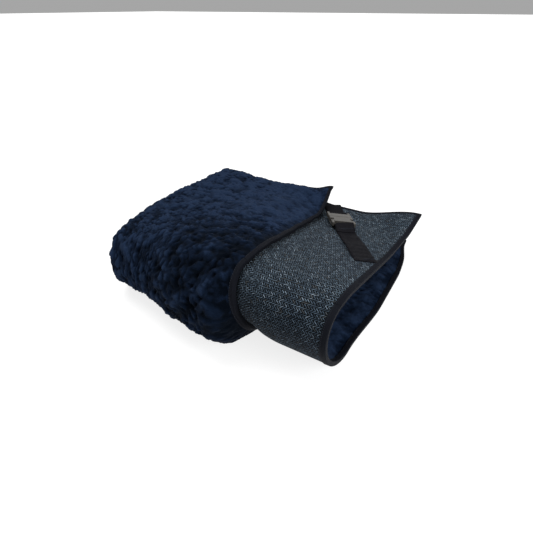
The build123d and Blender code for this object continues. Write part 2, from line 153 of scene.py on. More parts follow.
def section_shape(x):
    """Height of the woven face's bottom and crest, the fold's centre, and height at the back."""
    left = ease(x, 0.05, -0.20)
    bottom = STACK * (1 - ease(x, CUFF_EDGE_X + 6 * MM, RAMP_END_X + 6 * MM))
    crest = TOP_Z - 0.044 * left - 0.014 * ease(x, -0.17, -0.24)
    sag = ease(x, -0.09, 0.03) * ease(x, 0.112, 0.082)
    centre_y = FOLD_Y + 0.004 * left - 0.0145 * sag
    back = 0.0485 + 0.0200 * ease(x, 0.06, -0.03) + 0.010 * ease(x, -0.10, -0.22)
    return bottom, crest, centre_y, back


def lean_share(x):
    """The open mouth leans forward over its own bottom; inside the cuff the fold is round."""
    return ease(x, 0.082, 0.120)


def crest_y(x, crest, centre_y):
    """Where the fold ends at its top and the upper half begins."""
    return centre_y + (LEAN_OUT - LEAN * crest) * lean_share(x)


def upper_slope(crest, start_y, back):
    """Slope and the four stretches of the upper half: bend, slope, bend, level."""
    drop = crest - back
    run = LEVEL_Y - start_y
    bends = CREST_R + HOLLOW_R
    reach = np.hypot(bends - drop, run)
    angle = np.arctan2(run, bends - drop) - np.arccos(bends / reach)
    straight = (run - bends * np.sin(angle)) / np.cos(angle)
    return angle, CREST_R * angle, straight, HOLLOW_R * angle, BACK_Y - LEVEL_Y


def upper_length(x):
    """Length of the upper half across the fold."""
    _, crest, centre_y, back = section_shape(x)
    return sum(upper_slope(crest, crest_y(x, crest, centre_y), back)[1:])


def face_section(x, b):
    """Y and Z of the woven face. b runs 0 to 1 over the lower half, to 2 round the fold, to 3."""
    bottom, crest, centre_y, back = section_shape(x)
    radius = (crest - bottom) / 2
    turn = (np.clip(b, 1, 2) - 1) * pi
    z = bottom + radius * (1 - np.cos(turn))
    lean = lean_share(x)
    fold_y = centre_y + (LEAN_OUT - LEAN * z) * lean
    narrow = 0.112 * lean + 0.11 * ease(x, 0.080, 0.105) * ease(x, 0.170, 0.115)
    y = fold_y - radius * (1 - narrow) * np.sin(turn) + np.maximum(1 - b, 0) * (BACK_Y - fold_y)
    angle, first, straight, second, level = upper_slope(crest, crest_y(x, crest, centre_y), back)
    s = np.maximum(b - 2, 0) * (first + straight + second + level)
    bend = np.minimum(s / CREST_R, angle)
    along = np.clip(s - first, 0, straight)
    unbend = angle - np.clip((s - first - straight) / HOLLOW_R, 0, angle)
    y = y + CREST_R * np.sin(bend) + along * np.cos(angle)
    y = y + HOLLOW_R * (np.sin(angle) - np.sin(unbend)) + np.maximum(s - first - straight - second, 0)
    z = z - CREST_R * (1 - np.cos(bend)) - along * np.sin(angle)
    z = z - HOLLOW_R * (np.cos(unbend) - np.cos(angle))
    return y, z


def turned_end_shift(b):
    """How far the rounded front left corner draws the turned end in."""
    y, _ = face_section(np.full(np.shape(b), TURN_X), b)
    inward = np.clip((-0.030 - y) / 0.166, 0, 1)
    return 0.072 * inward**1.6 - 4 * MM


def surface(xn, b):
    """Woven face of the inner panel at rest, without the thickness of any layer."""
    x = xn + turned_end_shift(b) * ease(xn, 0.0, TURN_X)
    mouth = 0.006 * ease(b, 2.6, 3.0) + 0.010 * ease(b, 0.05, 0.4) * ease(b, 1.0, 0.65)
    x = x + mouth * ease(xn, 0.12, MOUTH_X) - 0.012 * ease(b, 0.24, 0.0) * ease(xn, 0.212, MOUTH_X)
    y, z = face_section(x, b)
    upper = ease(b, 2.0, 2.25)
    corner = ease(x, 0.12, MOUTH_X) * ease(y, 0.03, BACK_Y)
    z = z + 0.0265 * upper * corner
    tuck = np.clip((y - 0.218) / (BACK_Y - 0.218), 0, 1) ** 2
    z = z - 0.013 * upper * tuck * ease(x, 0.05, -0.01)
    across = y - 0.25 * x
    wave = noise(x / 0.16 + 3.1, across / 0.055, 11) * 0.0036
    wave = wave + (0.5 - np.abs(noise(x / 0.12, across / 0.030 + 9, 12))) * 0.0026
    z = z + wave * upper * ease(y, -0.10, 0.02) * ease(x, 0.07, -0.02)
    return np.stack([x, y, z], axis=-1)


def unit(vectors):
    return vectors / np.maximum(np.linalg.norm(vectors, axis=-1, keepdims=True), 1e-12)


def surface_normal(xn, b):
    dx = surface(xn + MM, b) - surface(xn - MM, b)
    db = surface(xn, b + 0.004) - surface(xn, b - 0.004)
    return unit(np.cross(dx, db))


def cuff_edge(b):
    """The cuff's bound edge runs straight, then back at a slant over the upper half."""
    t = np.clip((b - 2) * 1.02, 0, 1)
    forward = 9 * MM * ease(b, 0.5, 1.1) * ease(b, 2.0, 1.6)
    return CUFF_EDGE_X + forward - CUFF_SLANT * t


def cuff_lift(xn, b):
    """Height that the cuff stands off the panel: along its bound edge, and at its free corner."""
    e = np.maximum(cuff_edge(b) - xn, 0)
    off = np.maximum(3 - b, 0) * UPPER_LONG
    edge = 0.0035 * bell(e, 0.022) * ease(b, 1.05, 1.5)
    corner = 0.034 * np.exp(-((e / 0.062) ** 1.6) - (off / 0.040) ** 1.7)
    ripple = 0.003 * bell(e, 0.03) * noise(b * 9.0, b * 0, 21) * ease(b, 1.3, 1.8)
    return edge + corner + ripple


def cuff_bulge(xn, b):
    """How far the cuff's front swells out, just behind its bound edge."""
    e = np.maximum(cuff_edge(b) - xn, 0)
    swell = bell(e - 0.024, 0.026) - 0.3 * bell(e, 0.008)
    return 0.008 * swell * ease(b, 1.15, 1.5) * ease(b, 2.0, 1.6)


def place(xn, turn, b, depth):
    """A point of the panel. turn is 0 on the cuff, pi on the inner panel, and between them round
    the turned left end. depth is measured from the woven face towards the pile."""
    xn, turn, b, depth = np.broadcast_arrays(xn, turn, b, depth)
    normal = surface_normal(xn, b)
    centre = surface(xn, b) + GAP / 2 * normal
    rho = GAP / 2 + depth
    rounding = np.sin(turn)
    rho = np.where(rounding > 0.01, np.maximum(rho, 0.15 * MM), rho)
    along = surface(xn, b + 0.01) - surface(xn, b - 0.01)
    outward = unit(np.cross(normal, along))
    outward = np.where(outward[..., :1] > 0, -outward, outward)
    direction = np.cos(turn)[..., None] * normal + rounding[..., None] * outward
    point = centre + rho[..., None] * direction
    on_cuff = (1 + np.cos(turn)) / 2
    point[..., 2] += cuff_lift(xn, b) * on_cuff
    point += (cuff_bulge(xn, b) * on_cuff)[..., None] * normal
    point[..., 2] = np.maximum(point[..., 2], FLOOR_CLEAR + 0.04 * depth)
    return point


def cloth_coordinates(xn, turn, b):
    """Distances along and across the cloth itself, so a weave or pile follows every fold."""
    xn, turn, b = np.broadcast_arrays(xn, turn, b)
    rounded = (pi - turn) * PANEL / 2
    u = np.where(turn > INNER_TURN, xn, 2 * TURN_X - xn - PANEL * pi / 2)
    u = np.where((turn > 0) & (turn <= INNER_TURN), TURN_X - rounded, u)
    bottom, crest, _, _ = section_shape(xn)
    v = (np.clip(b, 1, 2) - 1.5) * pi * ((crest - bottom) / 2)
    v = v - np.maximum(1 - b, 0) * HALF_DEPTH + np.maximum(b - 2, 0) * upper_length(xn)
    return u, v


def edge_distance(xn, turn, b):
    """Distance along the cloth to the nearest bound edge."""
    on_cuff = turn < 0.01
    side = np.where(on_cuff, cuff_edge(b) - xn, np.where(turn > INNER_TURN, MOUTH_X - xn, 1.0))
    back = np.where(b < 1, b * HALF_DEPTH, np.where(b > 2, (3 - b) * UPPER_LONG, 1.0))
    return np.minimum(side, back)


# ---- meshes
def new_object(name, points, faces_by_size, materials, face_material=None):
    """Mesh object from arrays of points and faces, with smooth shading."""
    mesh = bpy.data.meshes.new(name)
    mesh.vertices.add(len(points))
    mesh.vertices.foreach_set("co", points.astype(np.float32).ravel())
    corners = np.concatenate([f.ravel() for f in faces_by_size])
    sizes = np.concatenate([np.full(len(f), f.shape[1]) for f in faces_by_size])
    starts = np.concatenate([[0], np.cumsum(sizes)[:-1]])
    mesh.loops.add(len(corners))
    mesh.loops.foreach_set("vertex_index", corners.astype(np.int32))
    mesh.polygons.add(len(sizes))
    mesh.polygons.foreach_set("loop_start", starts.astype(np.int32))
    for material in materials:
        mesh.materials.append(material)
    if face_material is not None:
        mesh.polygons.foreach_set("material_index", face_material.astype(np.int32))
    mesh.update(calc_edges=True)
    mesh.validate()
    mesh.polygons.foreach_set("use_smooth", np.ones(len(sizes), bool))
    piece = bpy.data.objects.new(name, mesh)
    bpy.context.collection.objects.link(piece)
    return piece


def write_attribute(piece, name, values):
    kind, field = ("FLOAT_VECTOR", "vector") if values.ndim == 2 else ("FLOAT", "value")
    attribute = piece.data.attributes.new(name, kind, "POINT")
    attribute.data.foreach_set(field, values.astype(np.float32).ravel())


def grid_normals(points):
    return unit(np.cross(np.gradient(points, axis=0), np.gradient(points, axis=1)))


def signed_volume(points, quads):
    a, b, c, d = (points[quads[:, k]] for k in range(4))
    return (np.einsum("ij,ij->i", a, np.cross(b, c)) + np.einsum("ij,ij->i", a, np.cross(c, d))).sum()


def slab(name, top, bottom, cloth, material, painted_lightness=0.5, painted_light=0.0, keep=True):
    """Closed sheet between two grids of points. keep says which cells of the grid it has.
    cloth, and the painted lightness and painted light and shade, are what its material reads at each
    point."""
    rows, columns = top.shape[:2]
    keep = np.broadcast_to(keep, (rows - 1, columns - 1))
    index = np.arange(rows * columns).reshape(rows, columns)
    under = index + rows * columns
    i, j = np.nonzero(keep)
    upper_faces = np.stack([index[i, j], index[i + 1, j], index[i + 1, j + 1], index[i, j + 1]], 1)
    lower_faces = np.stack([under[i, j], under[i, j + 1], under[i + 1, j + 1], under[i + 1, j]], 1)
    padded_keep = np.pad(keep, 1)
    walls = []
    for di, dj, a, b in (
        (-1, 0, (0, 0), (0, 1)),
        (1, 0, (1, 1), (1, 0)),
        (0, -1, (1, 0), (0, 0)),
        (0, 1, (0, 1), (1, 1)),
    ):
        open_side = ~padded_keep[i + 1 + di, j + 1 + dj]
        p, q = i[open_side], j[open_side]
        first = (p + a[0], q + a[1])
        second = (p + b[0], q + b[1])
        walls.append(np.stack([index[second], index[first], under[first], under[second]], 1)[:, ::-1])
    quads = np.concatenate([upper_faces, lower_faces] + walls)
    points = np.concatenate([top.reshape(-1, 3), bottom.reshape(-1, 3)])
    used = np.unique(quads)
    lookup = np.zeros(len(points), int)
    lookup[used] = np.arange(len(used))
    if signed_volume(points, quads) < 0:
        quads = quads[:, ::-1]
    piece = new_object(name, points[used], [lookup[quads]], [material])
    write_attribute(piece, "cloth", np.concatenate([cloth.reshape(-1, 3)] * 2)[used])
    for attribute, values in (("painted_lightness", painted_lightness), ("painted_light", painted_light)):
        values = np.broadcast_to(values, (rows, columns)).ravel()
        write_attribute(piece, attribute, np.concatenate([values] * 2)[used])
    return piece


# ---- materials
class Nodes:
    """Short calls for building a material's node tree."""

    def __init__(self, name):
        self.material = bpy.data.materials.new(name)
        self.material.use_nodes = True
        self.tree = self.material.node_tree
        self.shader = self.tree.nodes["Principled BSDF"]

    def feed(self, socket, value):
        if isinstance(value, bpy.types.NodeSocket):
            self.tree.links.new(value, socket)
        elif value is not None:
            socket.default_value = value

    def math(self, operation, a, b=None, c=None):
        node = self.tree.nodes.new("ShaderNodeMath")
        node.operation = operation
        for socket, value in zip(node.inputs, (a, b, c)):
            self.feed(socket, value)
        return node.outputs[0]

    def add(self, a, b):
        return self.math("ADD", a, b)

    def times(self, a, b):
        return self.math("MULTIPLY", a, b)

    def attribute(self, name, output="Vector"):
        node = self.tree.nodes.new("ShaderNodeAttribute")
        node.attribute_name = name
        return node.outputs[output]

    def cloth_mm(self):
        """Distances along and across the cloth, in millimetres."""
        scaled = self.tree.nodes.new("ShaderNodeVectorMath")
        scaled.operation = "MULTIPLY"
        self.feed(scaled.inputs[0], self.attribute("cloth"))
        scaled.inputs[1].default_value = (1000.0, 1000.0, 1000.0)
        split = self.tree.nodes.new("ShaderNodeSeparateXYZ")
        self.feed(split.inputs[0], scaled.outputs[0])
        return split.outputs[0], split.outputs[1]

    def on_object(self):
        return self.tree.nodes.new("ShaderNodeTexCoord").outputs["Object"]

    def join(self, x, y, z=0.0):
        node = self.tree.nodes.new("ShaderNodeCombineXYZ")
        for socket, value in zip(node.inputs, (x, y, z)):
            self.feed(socket, value)
        return node.outputs[0]

    def noise(self, vector, scale, detail=3.0, rough=0.55):
        node = self.tree.nodes.new("ShaderNodeTexNoise")
        self.feed(node.inputs["Vector"], vector)
        node.inputs["Scale"].default_value = scale
        node.inputs["Detail"].default_value = detail
        node.inputs["Roughness"].default_value = rough
        return node.outputs["Fac"]

    def random(self, vector):
        node = self.tree.nodes.new("ShaderNodeTexWhiteNoise")
        node.noise_dimensions = "3D"
        self.feed(node.inputs["Vector"], vector)
        return node.outputs["Value"]

    def ramp(self, factor, *stops):
        node = self.tree.nodes.new("ShaderNodeValToRGB")
        self.feed(node.inputs[0], factor)
        elements = node.color_ramp.elements
        while len(elements) < len(stops):
            elements.new(0.5)
        for element, (position, colour) in zip(elements, stops):
            element.position = position
            element.color = (*linear(colour), 1)
        return node.outputs[0]

    def mix(self, factor, a, b, blend="MIX"):
        node = self.tree.nodes.new("ShaderNodeMix")
        node.data_type = "RGBA"
        node.blend_type = blend
        self.feed(node.inputs[0], factor)
        self.feed(node.inputs[6], a)
        self.feed(node.inputs[7], b)
        return node.outputs[2]

    def smooth(self, value, start, end):
        node = self.tree.nodes.new("ShaderNodeMapRange")
        node.interpolation_type = "SMOOTHSTEP"
        self.feed(node.inputs[0], value)
        node.inputs[1].default_value = start
        node.inputs[2].default_value = end
        return node.outputs[0]

    def bump(self, height, distance, strength=1.0, under=None):
        node = self.tree.nodes.new("ShaderNodeBump")
        node.inputs["Strength"].default_value = strength
        node.inputs["Distance"].default_value = distance
        self.feed(node.inputs["Height"], height)
        if under is not None:
            self.feed(node.inputs["Normal"], under)
        return node.outputs[0]

    def finish(self, colour, normal=None, roughness=0.8, **constants):
        self.feed(self.shader.inputs["Base Color"], colour)
        self.feed(self.shader.inputs["Roughness"], roughness)
        if normal is not None:
            self.feed(self.shader.inputs["Normal"], normal)
        for key, value in constants.items():
            self.shader.inputs[key.replace("_", " ")].default_value = value
        return self.material


def linear(colour):
    """Linear colour from 8-bit sRGB values."""
    c = np.array(colour, float) / 255
    return tuple(np.where(c <= 0.04045, c / 12.92, ((c + 0.055) / 1.055) ** 2.4))


def pile_material():
    """Short soft plush: navy, with painted shade in its pits and hollows and painted light and shade by
    place, fine curls and a soft sheen.
    """
    n = Nodes("sherpa_pile")
    cloth = n.attribute("cloth")
    fine = n.noise(cloth, 520.0, 6.0, 0.72)
    curls = n.noise(cloth, 240.0, 4.0, 0.6)
    broad = n.noise(cloth, 26.0, 2.0, 0.5)
    painted_lightness = n.attribute("painted_lightness", "Fac")
    # painted shade: the colour is darker where the pile's relief and the curls' bump are low
    height = n.add(n.times(curls, 0.45), n.times(fine, 0.55))
    lightness = n.add(n.times(painted_lightness, 0.74), n.times(height, 0.84))
    # painted light and shade by place, added to the pile's lightness
    lightness = n.add(lightness, n.attribute("painted_light", "Fac"))
    colour = n.ramp(lightness, (0.38, (3, 7, 15)), (0.73, (12, 22, 38)), (1.0, (30, 43, 65)))
    patch = n.ramp(broad, (0.3, (205, 210, 215)), (0.7, (255, 255, 255)))
    colour = n.mix(0.6, colour, patch, "MULTIPLY")
    under = n.bump(curls, 1.6 * MM, 0.6)
    normal = n.bump(fine, 0.8 * MM, 0.7, under)
    return n.finish(
        colour,
        normal,
        0.95,
        Sheen_Weight=0.035,
        Sheen_Roughness=0.45,
        Sheen_Tint=(*linear((150, 170, 205)), 1),
        Specular_IOR_Level=0.03,
    )


def weave_material():
    """Chunky herringbone: bands of slanting floats of slate-blue yarn over near black."""
    n = Nodes("herringbone_cloth")
    u, v = n.cloth_mm()
    wobble = n.noise(n.join(u, v), 0.22, 2.0)
    u = n.add(u, n.times(wobble, 0.9))
    band_mm = 5.3
    float_mm = 4.0
    across = n.math("DIVIDE", v, band_mm)
    band = n.math("FLOOR", across)
    turned = n.math("MULTIPLY_ADD", n.math("PINGPONG", band, 1.0), -2.0, 1.0)
    in_band = n.math("FRACT", across)
    lean = n.times(n.math("SUBTRACT", in_band, 0.5), turned)
    along = n.add(n.math("DIVIDE", u, float_mm), n.times(lean, 1.3))
    yarn_number = n.math("FLOOR", along)
    yarn_round = n.math("PINGPONG", n.times(n.math("FRACT", along), 2.0), 1.0)
    float_end = n.math("PINGPONG", n.times(in_band, 2.0), 1.0)
    ends = n.math("MULTIPLY_ADD", n.smooth(float_end, 0.0, 0.30), 0.7, 0.3)
    height = n.times(n.smooth(yarn_round, 0.20, 0.90), ends)
    chance = n.random(n.join(band, yarn_number, 3.0))
    tint = n.random(n.join(yarn_number, band, 8.0))
    fibres = n.noise(n.join(u, n.times(v, 2.4)), 1.9, 4.0, 0.7)
    yarn = n.ramp(
        chance,
        (0.0, (80, 96, 112)),
        (0.35, (106, 126, 143)),
        (0.80, (134, 155, 171)),
        (1.0, (176, 193, 206)),
    )
    greyer = n.mix(n.smooth(tint, 0.94, 0.98), yarn, (*linear((108, 112, 114)), 1))
    fuzz = n.ramp(fibres, (0.30, (110, 110, 110)), (0.70, (255, 255, 255)))
    uneven = n.noise(n.join(u, v), 0.20, 3.0, 0.8)
    slubs = n.ramp(uneven, (0.40, (120, 120, 120)), (0.60, (255, 255, 255)))
    # painted shade: the woven face is darker on the lower half and the lower front of the fold
    wear_and_painted_shade = n.ramp(n.attribute("painted_lightness", "Fac"), (0.0, (165, 170, 180)), (1.0, (235, 236, 240)))
    yarn_colour = n.mix(0.9, n.mix(0.75, greyer, fuzz, "MULTIPLY"), slubs, "MULTIPLY")
    yarn_colour = n.mix(1.0, yarn_colour, wear_and_painted_shade, "MULTIPLY")
    colour = n.mix(n.smooth(height, 0.34, 0.76), (*linear((3, 6, 10)), 1), yarn_colour)
    relief = n.add(height, n.times(fibres, 0.25))
    normal = n.bump(relief, 0.75 * MM, 0.9)
    sheen = dict(Sheen_Weight=0.02, Sheen_Roughness=0.5)
    return n.finish(colour, normal, 0.88, Specular_IOR_Level=0.06, **sheen)


def ribbed_material(name, dark, light, pitch_mm, roughness, rib=0.35, slant=0.0):
    """Woven tape or webbing: fine ribs across its length, with a painted highlight on their crowns and
    painted shade between them.
    """
    n = Nodes(name)
    u, v = n.cloth_mm()
    lines = n.add(n.math("DIVIDE", u, pitch_mm), n.times(v, slant))
    crown = n.math("PINGPONG", lines, 0.5)
    lengthwise = n.math("PINGPONG", n.math("DIVIDE", v, pitch_mm * 0.8), 0.5)
    weave = n.add(crown, n.times(lengthwise, 0.6))
    fibres = n.noise(n.join(u, v), 1.3, 4.0, 0.65)
    # a slow random tone along the tape, with no painted shade here
    wear_and_painted_shade = n.noise(n.join(u, v), 0.05, 2.0)
    # painted highlight and shade: the colour follows the ribs' profile, lighter on the crowns and
    # darker between them
    tone = n.add(n.times(weave, 0.9), n.times(fibres, 0.35))
    tone = n.add(tone, n.times(wear_and_painted_shade, 0.2))
    colour = n.ramp(tone, (0.25, dark), (0.85, light))
    normal = n.bump(weave, rib * MM, 0.7)
    rough = n.math("MULTIPLY_ADD", fibres, 0.2, roughness - 0.1)
    return n.finish(colour, normal, rough, Specular_IOR_Level=0.02)


def plastic_material(name, base, roughness):
    """Moulded plastic with a fine spark-eroded grain and faint handling marks."""
    n = Nodes(name)
    position = n.on_object()
    grain = n.noise(position, 900.0, 3.0, 0.6)
    marks = n.noise(position, 60.0, 3.0, 0.6)
    lighter = tuple(min(255, int(c * 1.14) + 3) for c in base)
    colour = n.ramp(marks, (0.3, base), (0.75, lighter))
    rough = n.math("MULTIPLY_ADD", marks, 0.22, roughness - 0.1)
    normal = n.bump(grain, 0.12 * MM, 0.45)
    return n.finish(colour, normal, rough, Specular_IOR_Level=0.5)


def wadding_material():
    """Pale fibre wadding, tufted and soft."""
    n = Nodes("wadding")
    cloth = n.attribute("cloth")
    tufts = n.noise(cloth, 300.0, 4.0, 0.6)
    colour = n.ramp(tufts, (0.3, (176, 174, 168)), (0.8, (222, 221, 216)))
    return n.finish(colour, n.bump(tufts, 1.0 * MM, 0.6), 0.95, Sheen_Weight=0.2)


def film_material():
    """Carbon-fibre film: matt black with faint printed heating tracks."""
    n = Nodes("heating_film")
    u, v = n.cloth_mm()
    track = n.math("PINGPONG", n.math("DIVIDE", v, 9.0), 0.5)
    fibre = n.noise(n.join(u, v), 0.9, 4.0, 0.7)
    colour = n.mix(n.smooth(track, 0.30, 0.36), (*linear((26, 26, 28)), 1), (*linear((62, 58, 52)), 1))
    return n.finish(colour, n.bump(fibre, 0.1 * MM, 0.4), n.math("MULTIPLY_ADD", fibre, 0.3, 0.4))


PILE_MAT = pile_material()
WEAVE_MAT = weave_material()
TAPE_MAT = ribbed_material("binding_tape", (9, 10, 14), (22, 24, 30), 0.9, 0.62, 0.18)
WEBBING_MAT = ribbed_material("strap_webbing", (5, 5, 7), (24, 24, 28), 1.5, 0.6, 0.4, 0.25)
THREAD_MAT = ribbed_material("thread", (20, 22, 28), (50, 54, 62), 0.7, 0.6, 0.1)
BUCKLE_MAT = plastic_material("buckle_plastic", (58, 56, 52), 0.34)
FITTING_MAT = plastic_material("fitting_plastic", (30, 31, 34), 0.5)
LEAD_MAT = plastic_material("lead_jacket", (22, 22, 24), 0.55)
WADDING_MAT = wadding_material()
FILM_MAT = film_material()

# ---- layers
STEP_CUFF = 2.2 * MM  # spacing of the pile's grid
STEP_INNER = 3.2 * MM
STEP_LOW = 2.8 * MM
OUTER_R = 0.075  # about the fold's largest radius
POCKET_LEFT = SOCKET[0].x - 0.3 * MM  # cut out of the layers for the inlet socket
POCKET_RIGHT = SOCKET[1].x + 0.3 * MM
POCKET_B = (BACK_Y - SOCKET[0].y + 0.3 * MM) / HALF_DEPTH


def line_up(values, target):
    """Moves the nearest value of a rising or falling row onto a target."""
    values[np.argmin(np.abs(values - target))] = target


def along_lines(step_cuff, step_inner, trim):
    """Columns of a layer along the fold: share of the cuff, angle of the turn, or place x."""
    cuff = np.linspace(0, 1, int((CUFF_EDGE_X - TURN_X) / step_cuff))
    turn = np.linspace(0, pi, max(8, int(pi * PANEL / step_cuff)))[1:-1]
    inner = np.linspace(TURN_X, MOUTH_X - trim, int((MOUTH_X - TURN_X) / step_inner))
    line_up(inner, POCKET_LEFT)
    line_up(inner, POCKET_RIGHT)
    return cuff, turn, inner


def across_lines(step_low, step_high, trim):
    """Rows of a layer across the fold, as the parameter b, with a row at both cuts."""
    low = np.linspace(trim / HALF_DEPTH, 1, int(HALF_DEPTH / step_low))
    line_up(low, POCKET_B)
    ring = np.linspace(1, 2, int(pi * OUTER_R / step_high))
    high = np.linspace(2, 3 - trim / UPPER_LONG, int(UPPER_LONG / step_high))
    return np.concatenate([low, ring[1:], high[1:]]), len(low) - 1, len(low) + len(ring) - 2


class Layout:
    """The grid of a layer: where each point lies on the panel, and where the layer is cut."""

    def __init__(self, step_cuff, step_inner, step_low, step_high, trim):
        cuff, turn, inner = along_lines(step_cuff, step_inner, trim)
        self.b_line, self.cut_low, self.cut_high = across_lines(step_low, step_high, trim)
        b = self.b_line[None, :]
        edge = cuff_edge(b) - trim
        cuff_x = edge + (TURN_X - edge) * cuff[:, None]
        past_cuff = np.concatenate([np.full(len(turn), TURN_X), inner])
        self.xn = np.concatenate([cuff_x, np.repeat(past_cuff[:, None], b.shape[1], 1)])
        angles = np.concatenate([np.zeros(len(cuff)), turn, np.full(len(inner), pi)])
        self.turn = np.repeat(angles[:, None], b.shape[1], 1)
        self.b = np.repeat(b, len(self.xn), 0)
        self.u, self.v = cloth_coordinates(self.xn, self.turn, self.b)
        self.cloth = np.stack([self.u, self.v, 0 * self.u], -1)
        on_inner = (self.turn > INNER_TURN) & (self.b < 1)
        x_in = (self.xn > POCKET_LEFT - 1e-6) & (self.xn < POCKET_RIGHT + 1e-6)
        cut = on_inner & x_in & (self.b <= POCKET_B + 1e-6)
        self.keep = ~(cut[:-1, :-1] & cut[1:, :-1] & cut[:-1, 1:] & cut[1:, 1:])

    def pieces(self):
        """The three parts of the layer: name, and number of the first and the last row."""
        low, high = self.cut_low, self.cut_high
        return ("lower", 0, low), ("fold", low, high), ("upper", high, len(self.b_line) - 1)


def pile_thickness(layout):
    """Depth of the pile's tips behind the woven face, how lofty each place is, from 0 to 1, which its
    colour follows as painted shade in the pits,
    and the painted light and shade there: more than 0 paints the pile lighter, less than 0 darker."""
    u = layout.u
    v = layout.v
    warp_u = noise(u / 0.013, v / 0.013, 31) * 0.35
    warp_v = noise(u / 0.013 + 7, v / 0.013 + 3, 32) * 0.35
    first, second = cells(u / 0.0150 + warp_u, v / 0.0140 + warp_v, 33)
    lumps = np.clip(second - first, 0, 0.6) / 0.6
    lumps = lumps * (1.2 - 0.7 * np.clip(first, 0, 1))
    small, _ = cells(u / 0.0068 + warp_v, v / 0.0068 + warp_u, 34)
    curls = 1 - np.clip(small, 0, 1)
    swell = noise(u / 0.028, v / 0.024, 35)
    fine = noise(u / 0.0045, v / 0.0045, 36)
    patchy = 0.5 + 0.5 * noise(u / 0.05, v / 0.05, 37)
    on_cuff = layout.turn < 3.0
    front = ease(layout.b, 2.75, 2.05) * ease(layout.b, 0.0, 0.4)
    left = ease(layout.xn, -0.02, -0.2)
    rough = np.where(on_cuff, 0.48 + 0.62 * np.maximum(front, 0.7 * left), 0.6)
    pits = ease(noise(u / 0.0095 + warp_v, v / 0.0085 + warp_u, 38), 0.10, 0.62)
    relief = (lumps - 0.45) * 2.3 * (0.5 + 0.7 * patchy) + (curls - 0.5) * 1.1 + fine * 0.4
    relief = relief * rough * 1.25 + swell * (1.3 + 2.0 * rough)
    relief = relief - pits * 3.2 * rough * (0.4 + 0.9 * patchy)
    edge = ease(edge_distance(layout.xn, layout.turn, layout.b), 7 * MM, 28 * MM)
    socket_x = (POCKET_LEFT + POCKET_RIGHT) / 2
    near_socket = ease(np.abs(layout.xn - socket_x), 34 * MM, 20 * MM)
    near_socket = near_socket * (layout.turn > INNER_TURN) * ease(layout.b, 0.16, 0.08) * (layout.b < 1)
    depth = FILM + CLOTH + WADDING + PILE * (0.22 + 0.78 * np.maximum(edge, near_socket))
    depth = depth + near_socket * 1.2 * MM
    calm = 0.3 + 0.7 * edge
    # painted shade: the pile's colour follows its relief, darker in the pits
    painted_lightness = np.clip(0.55 + relief * 0.14, 0, 1)
    # painted light and shade: the pile is painted lighter on top and inside the mouth, and darker at
    # the front and near the bound edges
    top = ease(layout.b, 2.1, 2.6)
    painted_light = 0.15 * top - 0.26 * front * (1 - top) * ease(layout.xn, -0.15, 0.08)
    painted_light = np.where(on_cuff, painted_light - 0.22 * (1 - edge), 0.10 - 0.10 * (1 - edge))
    return depth + relief * calm * MM, painted_lightness, painted_light


def build_layer(kind, layout, near, far, material, painted_lightness=0.5, painted_light=0.0):
    """A layer in its three parts, from depth near to depth far behind the woven face."""
    face = place(layout.xn, layout.turn, layout.b, near)
    back = place(layout.xn, layout.turn, layout.b, far)
    painted_lightness = np.broadcast_to(painted_lightness, layout.b.shape)
    painted_light = np.broadcast_to(painted_light, layout.b.shape)
    face_normals = grid_normals(face)
    back_normals = -grid_normals(back)
    made = {}
    for part, first, last in layout.pieces():
        rows = slice(first, last + 1)
        keep = layout.keep[:, first:last]
        grids = (grid[:, rows] for grid in (back, face, layout.cloth))
        piece = slab(f"{kind}_{part}", *grids, material, painted_lightness[:, rows], painted_light[:, rows], keep)
        if kind in ("pile", "weave"):
            shade_like_the_whole(piece, back_normals[:, rows], face_normals[:, rows], keep)
        made[part] = piece
    return made


def shade_like_the_whole(piece, top_normals, bottom_normals, keep):
    """Shading normals of the whole layer, so no line shows where it is cut into pieces."""
    padded = np.pad(keep, 1)
    touched = padded[:-1, :-1] | padded[1:, :-1] | padded[:-1, 1:] | padded[1:, 1:]
    chosen = np.concatenate([top_normals[touched], bottom_normals[touched]])
    mesh = piece.data
    current = np.zeros(len(mesh.vertices) * 3, np.float32)
    mesh.vertex_normals.foreach_get("vector", current)
    current = current.reshape(-1, 3)
    half = touched.sum()
    for part in (slice(0, half), slice(half, None)):
        if np.einsum("ij,ij->i", chosen[part], current[part]).mean() < 0:
            chosen[part] = -chosen[part]
    mesh.normals_split_custom_set_from_vertices([tuple(n) for n in chosen])


def hang(piece, part, node):
    """Hangs a piece on its half, or for the fold bakes its place into its points, in place of a model's
    solid.
    """
    if part == "fold":
        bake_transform(piece)
    else:
        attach(piece, f"{part}_half")
    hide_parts(node)


def hang_layer(made, layer):
    for part, piece in made.items():
        hang(piece, part, f"{part}_{layer}")


fine_layout = Layout(STEP_CUFF, STEP_INNER, STEP_LOW, STEP_CUFF, BINDING - 1.5 * MM)
pile_depth, pile_painted_lightness, pile_painted_light = pile_thickness(fine_layout)
film_back = CLOTH + WADDING + FILM
pile_near = film_back + 0.1 * MM
pile = build_layer("pile", fine_layout, pile_near, pile_depth, PILE_MAT, pile_painted_lightness, pile_painted_light)
hang_layer(pile, "pile_lining")

cloth_layout = Layout(4.0 * MM, 2.6 * MM, 4.0 * MM, 2.6 * MM, BINDING - 2.5 * MM)
# painted shade on the woven face, full on the lower half and the lower front of the fold
painted_low_shade = ease(cloth_layout.b, 2.1, 1.55)
weave = build_layer("weave", cloth_layout, 0.0, CLOTH, WEAVE_MAT, 1 - painted_low_shade)
hang_layer(weave, "face_cloth")

coarse_layout = Layout(9 * MM, 9 * MM, 9 * MM, 6 * MM, BINDING + 1 * MM)
wadding_near = CLOTH + 0.05 * MM
wadding = build_layer("wadding", coarse_layout, wadding_near, CLOTH + WADDING - 0.05 * MM, WADDING_MAT)
hang_layer(wadding, "wadding")


